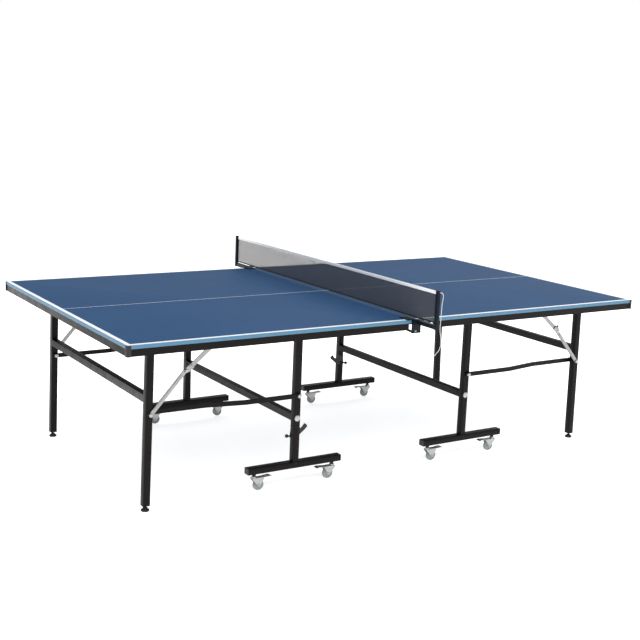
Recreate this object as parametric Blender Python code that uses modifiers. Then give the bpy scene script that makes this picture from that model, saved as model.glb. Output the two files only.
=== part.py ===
"""Full-size folding table-tennis table on two rollaway trolleys, built as separate named pieces.

Frame: origin on the floor under the middle of the net, +X along the table, +Z up, metres.
Each half is built on the +X side (u outward from the net, v across). The left half is the
same half turned by 180 degrees about Z, as on the real table, where both halves are alike.
"""

import math

import bmesh
import bpy
from mathutils import Matrix, Vector

NAME = "ping_pong_table"

# top
TOP_LENGTH = 2.740
TOP_WIDTH = 1.525
TOP_HEIGHT = 0.760
TOP_THICK = 0.016
HALF_GAP = 0.003
CORNER_R = 0.008

# apron rails and the cross rails that carry the hinges
RAIL_H = 0.030
RAIL_D = 0.020
RAIL_START_LONG = 0.036
RAIL_START_SHORT = 0.112
SEAM = 0.0003

# legs: pivots of the parallelogram (u, z) and the tube size
TUBE = 0.032
OUTER_V = 0.566
INNER_V = 0.552
P1 = (0.478, 0.714)
P2 = (1.190, 0.714)
L1 = (0.480, 0.416)
L2 = (1.192, 0.416)
TROLLEY_U = 0.479
LEG_TOP_RISE = 0.008
LEAN = 0.0196
FOOT_U = P2[0] + P2[1] * LEAN

# trolley foot beams and bars between the legs
BEAM_HALF = 0.239
BEAM_W = 0.038
BEAM_Z = (0.079, 0.109)
TROLLEY_BAR_Z = 0.310
OUTER_BAR_Z = 0.480

# folding latch on one leg of each trolley
LATCH_SIDE = 1
LATCH_Z = 0.222

# link bars: flat sides inboard of the outer leg and outboard of the trolley leg
LINK_T = 0.012
LINK_IN = (OUTER_V - TUBE / 2 - 0.0008 - LINK_T, OUTER_V - TUBE / 2 - 0.0008)
LINK_OUT = (INNER_V + TUBE / 2 + 0.0008, INNER_V + TUBE / 2 + 0.0008 + LINK_T)
LINK_STRAIGHT = 0.265

# folding stays, outboard of the outer leg: lower pin is the link's pin, knee and top pin (u, z)
STAY_V = OUTER_V + TUBE / 2 + 0.0008
KNEE = (1.037, 0.590)
STAY_TOP = (0.872, 0.726)

# casters
WHEEL_R = 0.025
WHEEL_W = 0.018
STEM_DU = 0.203
TRAIL = 0.022

# net
NET_HALF = 0.915
NET_TOP = 0.9125
NET_LOW = 0.7690
NET_X = -0.0025

# colours
COLOURS = {
    "blue": ((0.05, 0.13, 0.27, 1.0), 0.35, 0.0),
    "black": ((0.025, 0.022, 0.021, 1.0), 0.45, 0.4),
    "plastic": ((0.012, 0.012, 0.013, 1.0), 0.5, 0.0),
    "zinc": ((0.62, 0.64, 0.62, 1.0), 0.35, 0.9),
    "grey": ((0.25, 0.27, 0.26, 1.0), 0.6, 0.0),
    "net": ((0.01, 0.015, 0.03, 1.0), 0.8, 0.0),
    "white": ((0.85, 0.85, 0.87, 1.0), 0.8, 0.0),
}

for old in list(bpy.data.objects):
    bpy.data.objects.remove(old, do_unlink=True)

COLLECTION = bpy.data.collections.new(NAME)
bpy.context.scene.collection.children.link(COLLECTION)
CUTTERS = bpy.data.collections.new(NAME + "_cutters")
bpy.context.scene.collection.children.link(CUTTERS)
HALF_TURN = Matrix.Rotation(math.pi, 4, "Z")


def material(name, colour):
    base, rough, metal = COLOURS[colour]
    mat = bpy.data.materials.new(name + "_mat")
    mat.use_nodes = True
    bsdf = mat.node_tree.nodes["Principled BSDF"]
    bsdf.inputs["Base Color"].default_value = base
    bsdf.inputs["Roughness"].default_value = rough
    bsdf.inputs["Metallic"].default_value = metal
    mat.diffuse_color = base
    return mat


def cutter(mesh):
    obj = bpy.data.objects.new("solid", mesh)
    obj.hide_render = True
    obj.display_type = "WIRE"
    CUTTERS.objects.link(obj)
    return obj


def from_bmesh(bm):
    bmesh.ops.recalc_face_normals(bm, faces=bm.faces)
    mesh = bpy.data.meshes.new("solid")
    bm.to_mesh(mesh)
    bm.free()
    return cutter(mesh)


def made_solid(obj):
    """Evaluated curve or modifier result as a welded mesh object, in place of obj."""
    deps = bpy.context.evaluated_depsgraph_get()
    mesh = bpy.data.meshes.new_from_object(obj.evaluated_get(deps))
    mesh.transform(obj.matrix_world)
    bpy.data.objects.remove(obj, do_unlink=True)
    bm = bmesh.new()
    bm.from_mesh(mesh)
    bmesh.ops.remove_doubles(bm, verts=bm.verts, dist=0.00001)
    return from_bmesh(bm)


def extrude(outline, axis, low, high):
    """Prism of a flat outline (list of pairs), extruded along axis from low to high."""
    curve = bpy.data.curves.new("outline", "CURVE")
    curve.dimensions = "2D"
    curve.fill_mode = "BOTH"
    curve.extrude = (high - low) / 2
    spline = curve.splines.new("POLY")
    spline.points.add(len(outline) - 1)
    for point, (a, b) in zip(spline.points, outline):
        point.co = (a, b, 0.0, 1.0)
    spline.use_cyclic_u = True
    middle = (low + high) / 2
    obj = cutter(curve)
    if axis == "X":
        turn = Matrix(((0, 0, 1, middle), (1, 0, 0, 0), (0, 1, 0, 0), (0, 0, 0, 1)))
    elif axis == "Y":
        turn = Matrix(((1, 0, 0, 0), (0, 0, -1, middle), (0, 1, 0, 0), (0, 0, 0, 1)))
    else:
        turn = Matrix.Translation((0, 0, middle))
    obj.matrix_world = turn
    bpy.context.view_layer.update()
    return made_solid(obj)


def box(x, y, z):
    bm = bmesh.new()
    bmesh.ops.create_cube(bm, size=1.0)
    size = (x[1] - x[0], y[1] - y[0], z[1] - z[0])
    bmesh.ops.scale(bm, vec=[abs(value) for value in size], verts=bm.verts)
    centre = ((x[0] + x[1]) / 2, (y[0] + y[1]) / 2, (z[0] + z[1]) / 2)
    bmesh.ops.translate(bm, vec=centre, verts=bm.verts)
    return from_bmesh(bm)


def arc(centre, radius, start, stop, steps):
    points = []
    for i in range(steps + 1):
        angle = math.radians(start + (stop - start) * i / steps)
        points.append((centre[0] + radius * math.cos(angle), centre[1] + radius * math.sin(angle)))
    return points


def rounded(a, b, radius, steps=2):
    """Rectangle a (low, high) by b (low, high) with rounded corners."""
    points = []
    corners = ((a[1], b[1], 0), (a[0], b[1], 90), (a[0], b[0], 180), (a[1], b[0], 270))
    for ca, cb, start in corners:
        ia = ca - radius if ca == a[1] else ca + radius
        ib = cb - radius if cb == b[1] else cb + radius
        points += arc((ia, ib), radius, start, start + 90, steps)
    return points


def rod(axis, centre, radius, low, high, steps=16):
    """Round bar along X or Y; centre is its place on the other two axes."""
    if axis == "X":
        place = Matrix.Translation(((low + high) / 2, centre[0], centre[1]))
        place = place @ Matrix.Rotation(math.pi / 2, 4, "Y")
    else:
        place = Matrix.Translation((centre[0], (low + high) / 2, centre[1]))
        place = place @ Matrix.Rotation(math.pi / 2, 4, "X")
    bm = bmesh.new()
    depth = abs(high - low)
    sizes = {"radius1": radius, "radius2": radius, "depth": depth}
    bmesh.ops.create_cone(bm, cap_ends=True, segments=steps, matrix=place, **sizes)
    return from_bmesh(bm)


def screwed(points, closed, axis, steps):
    """Turn a profile of 3D points about an axis through the origin with a Screw modifier."""
    mesh = bpy.data.meshes.new("profile")
    edges = [(i, i + 1) for i in range(len(points) - 1)]
    if closed:
        edges.append((len(points) - 1, 0))
    mesh.from_pydata(points, edges, [])
    obj = cutter(mesh)
    mod = obj.modifiers.new("screw", "SCREW")
    mod.axis = axis
    mod.angle = 2 * math.pi
    mod.steps = steps
    mod.render_steps = steps
    mod.use_merge_vertices = True
    mod.merge_threshold = 0.00001
    return obj


def turned(profile, centre, steps=28):
    """Ring turned about the Y axis through centre (x, z); profile is a closed (radius, y)."""
    obj = screwed([(radius, y, 0.0) for radius, y in profile], True, "Y", steps)
    obj.location = (centre[0], 0.0, centre[1])
    bpy.context.view_layer.update()
    return made_solid(obj)


def turned_z(profile, centre, steps=20):
    """Solid turned about Z through centre (x, y); profile is (radius, z) between two flat ends."""
    points = [(0.0, 0.0, profile[0][1])]
    points += [(radius, 0.0, z) for radius, z in profile]
    points.append((0.0, 0.0, profile[-1][1]))
    obj = screwed(points, False, "Z", steps)
    obj.location = (centre[0], centre[1], 0.0)
    bpy.context.view_layer.update()
    return made_solid(obj)


def combine(target, others, operation):
    for other in others:
        mod = target.modifiers.new("bool", "BOOLEAN")
        mod.operation = operation
        mod.solver = "EXACT"
        mod.object = other
    deps = bpy.context.evaluated_depsgraph_get()
    mesh = bpy.data.meshes.new_from_object(target.evaluated_get(deps))
    target.modifiers.clear()
    target.data = mesh
    for other in others:
        bpy.data.objects.remove(other, do_unlink=True)
    return target


def union(target, *others):
    return combine(target, others, "UNION")


def cut(target, *others):
    return combine(target, others, "DIFFERENCE")


def leaning(obj, pivot_z, slope):
    """Shear a solid along X so that it leans outward towards the floor."""
    for vert in obj.data.vertices:
        vert.co.x += (pivot_z - vert.co.z) * slope
    return obj


def finish(obj, name, colour, half, pivot=(0.0, 0.0, 0.0)):
    """Turn the left half's pieces, put the origin on the joint axis, name and link the piece."""
    bm = bmesh.new()
    bm.from_mesh(obj.data)
    bmesh.ops.remove_doubles(bm, verts=bm.verts, dist=0.00005)
    bmesh.ops.dissolve_limit(bm, angle_limit=0.002, verts=bm.verts, edges=bm.edges)
    bmesh.ops.recalc_face_normals(bm, faces=bm.faces)
    bm.to_mesh(obj.data)
    bm.free()
    obj.data.shade_smooth()
    obj.data.set_sharp_from_angle(angle=math.radians(38))
    origin = Vector(pivot)
    if half == "left":
        obj.data.transform(HALF_TURN)
        origin = HALF_TURN @ origin
    obj.data.transform(Matrix.Translation(-origin))
    obj.location = origin
    obj.name = name
    obj.data.name = name
    obj.data.materials.clear()
    obj.data.materials.append(material(name, colour))
    CUTTERS.objects.unlink(obj)
    COLLECTION.objects.link(obj)
    obj.hide_render = False
    obj.display_type = "TEXTURED"
    return obj


def side_name(half, v):
    """near is -Y in the shared frame, far is +Y."""
    near = v < 0 if half == "right" else v > 0
    return "near" if near else "far"


def tabletop(half):
    half_w = TOP_WIDTH / 2
    outer = TOP_LENGTH / 2
    outline = [(HALF_GAP, -half_w)]
    outline += arc((outer - CORNER_R, -half_w + CORNER_R), CORNER_R, 270, 360, 5)
    outline += arc((outer - CORNER_R, half_w - CORNER_R), CORNER_R, 0, 90, 5)
    outline += [(HALF_GAP, half_w)]
    panel = extrude(outline, "Z", TOP_HEIGHT - TOP_THICK, TOP_HEIGHT)
    finish(panel, half + "_tabletop", "blue", half, (P1[0], 0.0, P1[1]))


def ear(u, z, v_low, v_high, top, reach=0.010):
    """Hinge ear hanging from a rail: a plate with a rounded lower end."""
    outline = [(u + 0.013, top), (u - 0.013, top)]
    outline += arc((u, z), reach, 180, 360, 6)
    return extrude(outline, "Y", v_low, v_high)


def apron_frame(half):
    top = TOP_HEIGHT - TOP_THICK - SEAM
    low = TOP_HEIGHT - TOP_THICK - RAIL_H
    outer = TOP_LENGTH / 2 - 0.001
    half_w = TOP_WIDTH / 2 - 0.001
    radius = CORNER_R - 0.001
    outline = [(RAIL_START_SHORT, -half_w)]
    outline += arc((outer - radius, -half_w + radius), radius, 270, 360, 5)
    outline += arc((outer - radius, half_w - radius), radius, 0, 90, 5)
    outline += [(RAIL_START_LONG, half_w), (RAIL_START_LONG, half_w - RAIL_D)]
    outline += [(outer - RAIL_D, half_w - RAIL_D), (outer - RAIL_D, -half_w + RAIL_D)]
    outline += [(RAIL_START_SHORT, -half_w + RAIL_D)]
    frame = extrude(outline, "Z", low, top)
    adds = []
    rail_low = top - 0.010
    inner = half_w - RAIL_D + 0.004
    for u in (P1[0], P2[0]):
        adds.append(box((u - 0.014, u + 0.014), (-inner, inner), (rail_low, top - 0.0004)))
    for sign in (-1, 1):
        for (u, z), leg_v in ((P1, INNER_V), (P2, OUTER_V)):
            near_face = leg_v - TUBE / 2 - 0.0006
            far_face = leg_v + TUBE / 2 + 0.0006
            for face, way in ((near_face, -1), (far_face, 1)):
                span = sorted((sign * face, sign * (face + way * 0.004)))
                adds.append(ear(u, z, span[0], span[1], rail_low + 0.004))
                head = sorted((sign * (face + way * 0.003), sign * (face + way * 0.0072)))
                adds.append(rod("Y", (u, z), 0.007, head[0], head[1], 10))
            pin = sorted((sign * (near_face - 0.002), sign * (far_face + 0.002)))
            adds.append(rod("Y", (u, z), 0.004, pin[0], pin[1], 10))
        ear_v = sorted((sign * (STAY_V + 0.0127), sign * (STAY_V + 0.0167)))
        strap_v = sorted((sign * (STAY_V + 0.0127), sign * (STAY_V + 0.0242)))
        adds.append(box((STAY_TOP[0] - 0.016, P2[0] + 0.012), strap_v, (top - 0.0052, top - 0.0008)))
        adds.append(ear(STAY_TOP[0], STAY_TOP[1], ear_v[0], ear_v[1], top - 0.002, 0.009))
        pin = sorted((sign * (STAY_V + 0.0042), sign * (STAY_V + 0.0140)))
        adds.append(rod("Y", STAY_TOP, 0.004, pin[0], pin[1], 10))
        head = sorted((sign * (STAY_V + 0.0032), sign * (STAY_V + 0.0058)))
        adds.append(rod("Y", STAY_TOP, 0.007, head[0], head[1], 12))
    union(frame, *adds)
    finish(frame, half + "_apron_frame", "black", half, (P1[0], 0.0, P1[1]))


def corner_caps(half):
    outer = TOP_LENGTH / 2
    half_w = TOP_WIDTH / 2
    leg = 0.016
    wall = 0.0018
    gap = 0.0004
    for sign in (-1, 1):
        centre = (outer - CORNER_R, half_w - CORNER_R)
        outline = [(outer - leg, half_w + gap + wall)]
        outline += arc(centre, CORNER_R + gap + wall, 90, 0, 6)
        outline += [(outer + gap + wall, half_w - leg), (outer + gap, half_w - leg)]
        outline += arc(centre, CORNER_R + gap, 0, 90, 6)
        outline += [(outer - leg, half_w + gap)]
        if sign < 0:
            outline = [(a, -b) for a, b in outline]
        cap = extrude(outline, "Z", TOP_HEIGHT - TOP_THICK - RAIL_H - 0.0008, TOP_HEIGHT - 0.0008)
        name = half + "_corner_cap_" + side_name(half, sign)
        finish(cap, name, "plastic", half, (P1[0], 0.0, P1[1]))


def tube_z(u, v, low, high):
    outline = rounded((u - TUBE / 2, u + TUBE / 2), (v - TUBE / 2, v + TUBE / 2), 0.003)
    return extrude(outline, "Z", low, high)


def tube_y(u, z, low, high, height=TUBE):
    outline = rounded((u - TUBE / 2, u + TUBE / 2), (z - height / 2, z + height / 2), 0.003)
    return extrude(outline, "Y", low, high)


def trolley(half):
    u = TROLLEY_U
    top = P1[1] + LEG_TOP_RISE
    inner = INNER_V - TUBE / 2
    outer = INNER_V + TUBE / 2
    frame = tube_y(u, TROLLEY_BAR_Z, -inner - 0.004, inner + 0.004)
    adds = []
    cuts = []
    for sign in (-1, 1):
        v = sign * INNER_V
        adds.append(tube_z(u, v, BEAM_Z[1] - 0.004, top))
        beam = rounded((v - BEAM_W / 2, v + BEAM_W / 2), BEAM_Z, 0.003)
        adds.append(extrude(beam, "X", u - BEAM_HALF, u + BEAM_HALF))
        plug = rounded((v - 0.0165, v + 0.0165), (BEAM_Z[0] + 0.002, BEAM_Z[1] - 0.002), 0.003)
        adds.append(extrude(plug, "X", u - BEAM_HALF - 0.0022, u + BEAM_HALF + 0.0022))
        cap = sorted((sign * (outer - 0.002), sign * (outer + 0.0020)))
        adds.append(rod("Y", (u, TROLLEY_BAR_Z), 0.0135, cap[0], cap[1], 18))
        pin = sorted((sign * (outer - 0.005), sign * (LINK_OUT[1] + 0.0020)))
        adds.append(rod("Y", L1, 0.0050, pin[0], pin[1], 12))
        head = sorted((sign * (LINK_OUT[1] + 0.0006), sign * (LINK_OUT[1] + 0.0053)))
        adds.append(rod("Y", L1, 0.0090, head[0], head[1], 14))
        for way in (-1, 1):
            stem = (u + way * STEM_DU, v)
            adds.append(turned_z([(0.0040, 0.0575), (0.0040, 0.0720)], stem, 10))
            adds.append(turned_z([(0.0080, 0.0705), (0.0080, 0.0775)], stem, 12))
            adds.append(turned_z([(0.0125, 0.0765), (0.0125, 0.0810)], stem, 14))
        cuts.append(rod("Y", P1, 0.0044, v - 0.03, v + 0.03, 10))
    pin = rod("Y", (u, LATCH_Z), 0.0040, LATCH_SIDE * (inner + 0.004), LATCH_SIDE * (inner - 0.0060), 12)
    adds.append(pin)
    head_v = sorted((LATCH_SIDE * (inner - 0.0049), LATCH_SIDE * (inner - 0.0078)))
    adds.append(rod("Y", (u, LATCH_Z), 0.0080, head_v[0], head_v[1], 14))
    union(frame, *adds)
    cut(frame, *cuts)
    finish(frame, half + "_trolley_frame", "black", half, (TROLLEY_U, 0.0, 0.0))


def latch(half):
    """Flat hook that catches the folded top's lower edge, with a ball handle on its other arm."""
    inner = INNER_V - TUBE / 2
    u = TROLLEY_U
    z = LATCH_Z
    shape = [(15, 2), (12, 28), (2, 40), (-14, 46), (-27, 46), (-31, 40), (-35, 32), (-40, 29)]
    shape += [(-46, 32), (-60, 49), (-67, 45), (-74, 37), (-74, 32), (-62, 21), (-38, 2), (-9, -9)]
    shape += [(9, -9), (15, -8)]
    outline = [(u + a / 1000, z + b / 1000) for a, b in shape]
    span = (inner - 0.0045, inner - 0.0005)
    hook = extrude(outline, "Y", span[0], span[1])
    arm = rod("X", (inner - 0.0040, z - 0.002), 0.0036, u + 0.0095, u + 0.026, 10)
    ball = ball_at((u + 0.0270, inner - 0.0095, z - 0.002), 0.0085)
    union(hook, arm, ball)
    cut(hook, rod("Y", (u, z), 0.0043, inner - 0.01, inner + 0.01, 12))
    finish(hook, half + "_latch_hook", "plastic", half, (u, LATCH_SIDE * inner, z))


def ball_at(centre, radius):
    bm = bmesh.new()
    bmesh.ops.create_uvsphere(bm, u_segments=12, v_segments=8, radius=radius)
    bmesh.ops.translate(bm, verts=bm.verts, vec=centre)
    return from_bmesh(bm)


def outer_legs(half):
    u = P2[0]
    inner = OUTER_V - TUBE / 2
    outer = OUTER_V + TUBE / 2
    frame = tube_y(u, OUTER_BAR_Z, -inner - 0.004, inner + 0.004, 0.034)
    adds = []
    for sign in (-1, 1):
        adds.append(tube_z(u, sign * OUTER_V, 0.024, P2[1] + LEG_TOP_RISE))
    union(frame, *adds)
    leaning(frame, P2[1], LEAN)
    adds = []
    cuts = []
    for sign in (-1, 1):
        v = sign * OUTER_V
        pin = sorted((sign * (inner + 0.005), sign * (LINK_IN[0] - 0.0020)))
        adds.append(rod("Y", L2, 0.0050, pin[0], pin[1], 12))
        head = sorted((sign * (LINK_IN[0] - 0.0006), sign * (LINK_IN[0] - 0.0053)))
        adds.append(rod("Y", L2, 0.0090, head[0], head[1], 14))
        pin = sorted((sign * (outer - 0.005), sign * (STAY_V + 0.0072)))
        adds.append(rod("Y", L2, 0.0042, pin[0], pin[1], 12))
        head = sorted((sign * (STAY_V + 0.0056), sign * (STAY_V + 0.0094)))
        adds.append(rod("Y", L2, 0.0080, head[0], head[1], 12))
        cuts.append(rod("Y", P2, 0.0044, v - 0.03, v + 0.03, 10))
        cuts.append(turned_z([(0.0047, 0.0100), (0.0047, 0.0650)], (FOOT_U - 0.0005, v), 10))
    union(frame, *adds)
    cut(frame, *cuts)
    finish(frame, half + "_outer_leg_frame", "black", half, (P2[0], 0.0, P2[1]))
    for sign in (-1, 1):
        profile = [(0.0170, 0.0), (0.0180, 0.0020), (0.0180, 0.0060), (0.0150, 0.0080)]
        profile += [(0.0100, 0.0130), (0.0100, 0.0150), (0.0042, 0.0152), (0.0042, 0.0480)]
        foot = turned_z(profile, (FOOT_U - 0.0005, sign * OUTER_V), 16)
        name = half + "_levelling_foot_" + side_name(half, sign)
        finish(foot, name, "plastic", half, (FOOT_U - 0.0005, sign * OUTER_V, 0.0))


def links(half):
    """Link bar: straight at both ends, stepped sideways in the middle so both legs share a plane."""
    out_v = LINK_OUT
    in_v = LINK_IN
    shift = LINK_STRAIGHT
    start = L1[0]
    stop = L2[0]
    z = L1[1]
    for sign in (-1, 1):
        path = [(start - 0.011, out_v), (start + shift, out_v), (stop - shift, in_v), (stop + 0.011, in_v)]
        outline = [(a, sign * b[1]) for a, b in path] + [(a, sign * b[0]) for a, b in path[::-1]]
        bar = extrude(outline, "Z", z - 0.0098, z + 0.0098)
        holes = [rod("Y", L1, 0.0054, sign * 0.50, sign * 0.62, 12)]
        holes.append(rod("Y", L2, 0.0054, sign * 0.50, sign * 0.62, 12))
        cut(bar, *holes)
        bm = bmesh.new()
        bm.from_mesh(bar.data)
        ends = [e for e in bm.edges if end_edge(e, start, stop)]
        bmesh.ops.bevel(bm, geom=ends, offset=0.0050, segments=2, affect="EDGES", profile=0.5)
        bm.to_mesh(bar.data)
        bm.free()
        finish(bar, half + "_link_bar_" + side_name(half, sign), "black", half, (L1[0], 0.0, L1[1]))


def end_edge(edge, start, stop):
    """Edges that run across the bar's thickness at its two ends."""
    a, b = edge.verts
    same_x = abs(a.co.x - b.co.x) < 0.0001
    same_z = abs(a.co.z - b.co.z) < 0.0001
    at_end = abs(a.co.x - (start - 0.011)) < 0.0003 or abs(a.co.x - (stop + 0.011)) < 0.0003
    return same_x and same_z and at_end


def bar_between(a, b, half_w, v_low, v_high, steps=5):
    """Flat bar with rounded ends from a to b (u, z), extruded across."""
    angle = math.degrees(math.atan2(b[1] - a[1], b[0] - a[0]))
    outline = arc(b, half_w, angle - 90, angle + 90, steps)
    outline += arc(a, half_w, angle + 90, angle + 270, steps)
    return extrude(outline, "Y", min(v_low, v_high), max(v_low, v_high))


def stays(half):
    for sign in (-1, 1):
        base = sign * STAY_V
        lower = bar_between(L2, KNEE, 0.0086, base, base + sign * 0.0050)
        head = sorted((base + sign * 0.0110, base + sign * 0.0147))
        rib_a = along(L2, KNEE, 0.12)
        rib_b = along(L2, KNEE, 0.86)
        rib = bar_between(rib_a, rib_b, 0.0046, base + sign * 0.0030, base + sign * 0.0064, 3)
        union(lower, rib)
        cut(lower, rod("Y", L2, 0.0046, sign * 0.55, sign * 0.62, 12))
        name = half + "_stay_lower_" + side_name(half, sign)
        finish(lower, name, "zinc", half, (L2[0], 0.0, L2[1]))
        upper = bar_between(KNEE, STAY_TOP, 0.0095, base + sign * 0.0067, base + sign * 0.0117)
        union(upper, rod("Y", KNEE, 0.0075, head[0], head[1], 12))
        cut(upper, rod("Y", STAY_TOP, 0.0044, sign * 0.55, sign * 0.62, 10))
        name = half + "_stay_upper_" + side_name(half, sign)
        finish(upper, name, "zinc", half, (STAY_TOP[0], 0.0, STAY_TOP[1]))


def along(a, b, t):
    return (a[0] + (b[0] - a[0]) * t, a[1] + (b[1] - a[1]) * t)


def caster(half, u, v, inward):
    """Swivel caster; inward is the u direction in which the wheel trails."""
    trail = u + inward * TRAIL
    place = side_name(half, v) + ("_inner" if u < TROLLEY_U else "_outer")
    axle = (trail, WHEEL_R)
    plate = [(-12, 60), (-12, 54)] + arc((TRAIL * 1000, WHEEL_R * 1000), 6, 217, 345, 5)
    plate += [(39, 44), (44, 50), (44, 60)]
    outline = [(u + inward * a / 1000, b / 1000) for a, b in plate]
    fork = turned_z([(0.0115, 0.0560), (0.0115, 0.0655), (0.0085, 0.0685)], (u, v), 12)
    adds = [box(sorted((u - inward * 0.012, u + inward * 0.026)), (v - 0.0125, v + 0.0125), (0.0565, 0.0600))]
    for way in (-1, 1):
        span = sorted((v + way * 0.0110, v + way * 0.0134))
        adds.append(extrude(outline, "Y", span[0], span[1]))
    adds.append(rod("Y", axle, 0.0030, v - 0.0155, v + 0.0155, 10))
    adds.append(rod("Y", (u + inward * 0.040, 0.0545), 0.0020, v - 0.0125, v + 0.0125, 8))
    union(fork, *adds)
    cut(fork, turned_z([(0.0045, 0.0500), (0.0045, 0.0750)], (u, v), 10))
    finish(fork, half + "_caster_fork_" + place, "zinc", half, (u, v, 0.060))
    half_w = WHEEL_W / 2
    profile = [(0.0034, -half_w), (0.0034, half_w), (0.0070, half_w), (0.0080, half_w - 0.0025)]
    profile += [(0.0165, half_w - 0.0025), (0.0175, half_w - 0.0008), (0.0225, half_w - 0.0008)]
    profile += [(WHEEL_R, 0.0040), (WHEEL_R, -0.0040), (0.0225, -half_w + 0.0008)]
    profile += [(0.0175, -half_w + 0.0008), (0.0165, -half_w + 0.0025), (0.0080, -half_w + 0.0025)]
    profile += [(0.0070, -half_w)]
    wheel = turned([(r, y + v) for r, y in profile], axle, 20)
    finish(wheel, half + "_caster_wheel_" + place, "grey", half, (trail, v, WHEEL_R))
    pedal_shape = [(29, 56.5), (44, 58), (78, 60.5), (86, 57), (87, 58.5), (79, 63), (44, 60.6), (29, 59.2)]
    outline = [(u + inward * a / 1000, b / 1000) for a, b in pedal_shape]
    pedal = extrude(outline, "Y", v - 0.0102, v + 0.0102)
    wide = [(47, 58.4), (78, 60.7), (86, 57.2), (87, 58.4), (79, 62.8), (47, 60.6)]
    outline = [(u + inward * a / 1000, b / 1000) for a, b in wide]
    wings = extrude(outline, "Y", v - 0.0145, v + 0.0145)
    barrel = rod("Y", (u + inward * 0.040, 0.0545), 0.0046, v - 0.0102, v + 0.0102, 10)
    union(pedal, wings, barrel)
    cut(pedal, rod("Y", (u + inward * 0.040, 0.0545), 0.0023, v - 0.02, v + 0.02, 8))
    finish(pedal, half + "_brake_pedal_" + place, "zinc", half, (u + inward * 0.040, v, 0.0545))


def net_bracket(sign):
    """Clamp, arm and post of the net, on the left half's edge."""
    edge = TOP_WIDTH / 2
    side = "near" if sign < 0 else "far"

    def across(low, high):
        return sorted((sign * low, sign * high))

    body = box((-0.024, 0.024), across(edge + 0.0020, edge + 0.0065), (0.7000, 0.7638))
    adds = [box((-0.050, -0.0010), across(0.7050, edge + 0.0040), (0.7604, 0.7634))]
    adds.append(box((-0.0105, 0.0105), across(edge + 0.0040, NET_HALF + 0.0060), (0.7440, 0.7620)))
    adds.append(box((-0.0240, 0.0240), across(edge + 0.0040, edge + 0.0300), (0.7420, 0.7638)))
    post = rounded((-0.0135, 0.0025), across(NET_HALF - 0.0085, NET_HALF + 0.0095), 0.0030)
    adds.append(extrude(post, "Z", 0.7430, NET_TOP + 0.0040))
    adds.append(rod("X", (sign * (edge + 0.0043), 0.7030), 0.0045, -0.0240, -0.0170, 12))
    adds.append(rod("X", (sign * (edge + 0.0043), 0.7030), 0.0045, 0.0050, 0.0240, 12))
    union(body, *adds)
    slot = box((-0.0168, 0.0048), across(edge - 0.010, edge + 0.0110), (0.6900, 0.7090))
    cut(body, slot)
    pin = rod("X", (sign * (edge + 0.0043), 0.7030), 0.0020, -0.0200, 0.0080, 10)
    union(body, pin)
    finish(body, side + "_net_bracket", "plastic", "right", (-P1[0], 0.0, P1[1]))
    shape = [(0.7648, 0.6995), (0.7400, 0.7000), (0.7160, 0.7015), (0.7060, 0.7040), (0.7010, 0.7080)]
    shape += [(0.7013, 0.7108), (0.7050, 0.7108), (0.7090, 0.7078), (0.7200, 0.7062), (0.7430, 0.7056)]
    shape += [(0.7648, 0.7060)]
    outline = [(sign * (a + 0.0020), b) for a, b in shape]
    jaw = extrude(outline, "X", -0.0165, -0.0002)
    knuckle = rod("X", (sign * (edge + 0.0043), 0.7030), 0.0042, -0.0165, 0.0045, 12)
    union(jaw, knuckle)
    cut(jaw, rod("X", (sign * (edge + 0.0043), 0.7030), 0.0023, -0.03, 0.02, 10))
    finish(jaw, side + "_clamp_jaw", "plastic", "right", (-0.006, sign * (edge + 0.0043), 0.7030))


def net_cloth():
    cloth = box((NET_X - 0.0014, NET_X + 0.0014), (-NET_HALF + 0.0092, NET_HALF - 0.0092), (NET_LOW, NET_TOP))
    finish(cloth, "net", "net", "right", (NET_X, 0.0, NET_LOW))


def smooth_route(points, steps):
    """Catmull-Rom curve through the points, with steps places between each pair."""
    route = [Vector(point) for point in points]
    route = [route[0] * 2 - route[1]] + route + [route[-1] * 2 - route[-2]]
    places = []
    for a, b, c, d in zip(route, route[1:], route[2:], route[3:]):
        for i in range(steps):
            t = i / steps
            bend = (2 * a - 5 * b + 4 * c - d) * t * t + (3 * b - a - 3 * c + d) * t ** 3
            places.append((2 * b + (c - a) * t + bend) / 2)
    return places + [route[-2]]


def tension_cord():
    """Loose end of the net's top cord, hanging from the near post."""
    route = [(-0.0040, -0.9268, 0.9090), (0.0020, -0.9300, 0.9085), (0.0072, -0.9325, 0.9030)]
    route += [(0.0092, -0.9338, 0.8920), (0.0070, -0.9342, 0.8790), (0.0042, -0.9342, 0.8600)]
    route += [(0.0028, -0.9342, 0.8250), (0.0022, -0.9342, 0.7900), (0.0012, -0.9342, 0.7630)]
    route += [(0.0020, -0.9343, 0.7400), (0.0070, -0.9344, 0.7180), (0.0098, -0.9345, 0.6950)]
    route += [(0.0088, -0.9345, 0.6740), (0.0020, -0.9345, 0.6560), (-0.0105, -0.9345, 0.6440)]
    route += [(-0.0210, -0.9345, 0.6340)]
    places = smooth_route(route, 3)
    curve = bpy.data.curves.new("tension_cord", "CURVE")
    curve.dimensions = "3D"
    curve.bevel_depth = 0.0013
    curve.bevel_resolution = 2
    curve.use_fill_caps = True
    spline = curve.splines.new("POLY")
    spline.points.add(len(places) - 1)
    for point, place in zip(spline.points, places):
        point.co = (place[0], place[1], place[2], 1.0)
    finish(made_solid(cutter(curve)), "tension_cord", "white", "right", route[0])


for side in ("left", "right"):
    tabletop(side)
    apron_frame(side)
    corner_caps(side)
    trolley(side)
    latch(side)
    outer_legs(side)
    links(side)
    stays(side)
    for v_side in (-INNER_V, INNER_V):
        caster(side, TROLLEY_U - STEM_DU, v_side, 1)
        caster(side, TROLLEY_U + STEM_DU, v_side, -1)
for v_sign in (-1, 1):
    net_bracket(v_sign)
net_cloth()
tension_cord()

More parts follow.
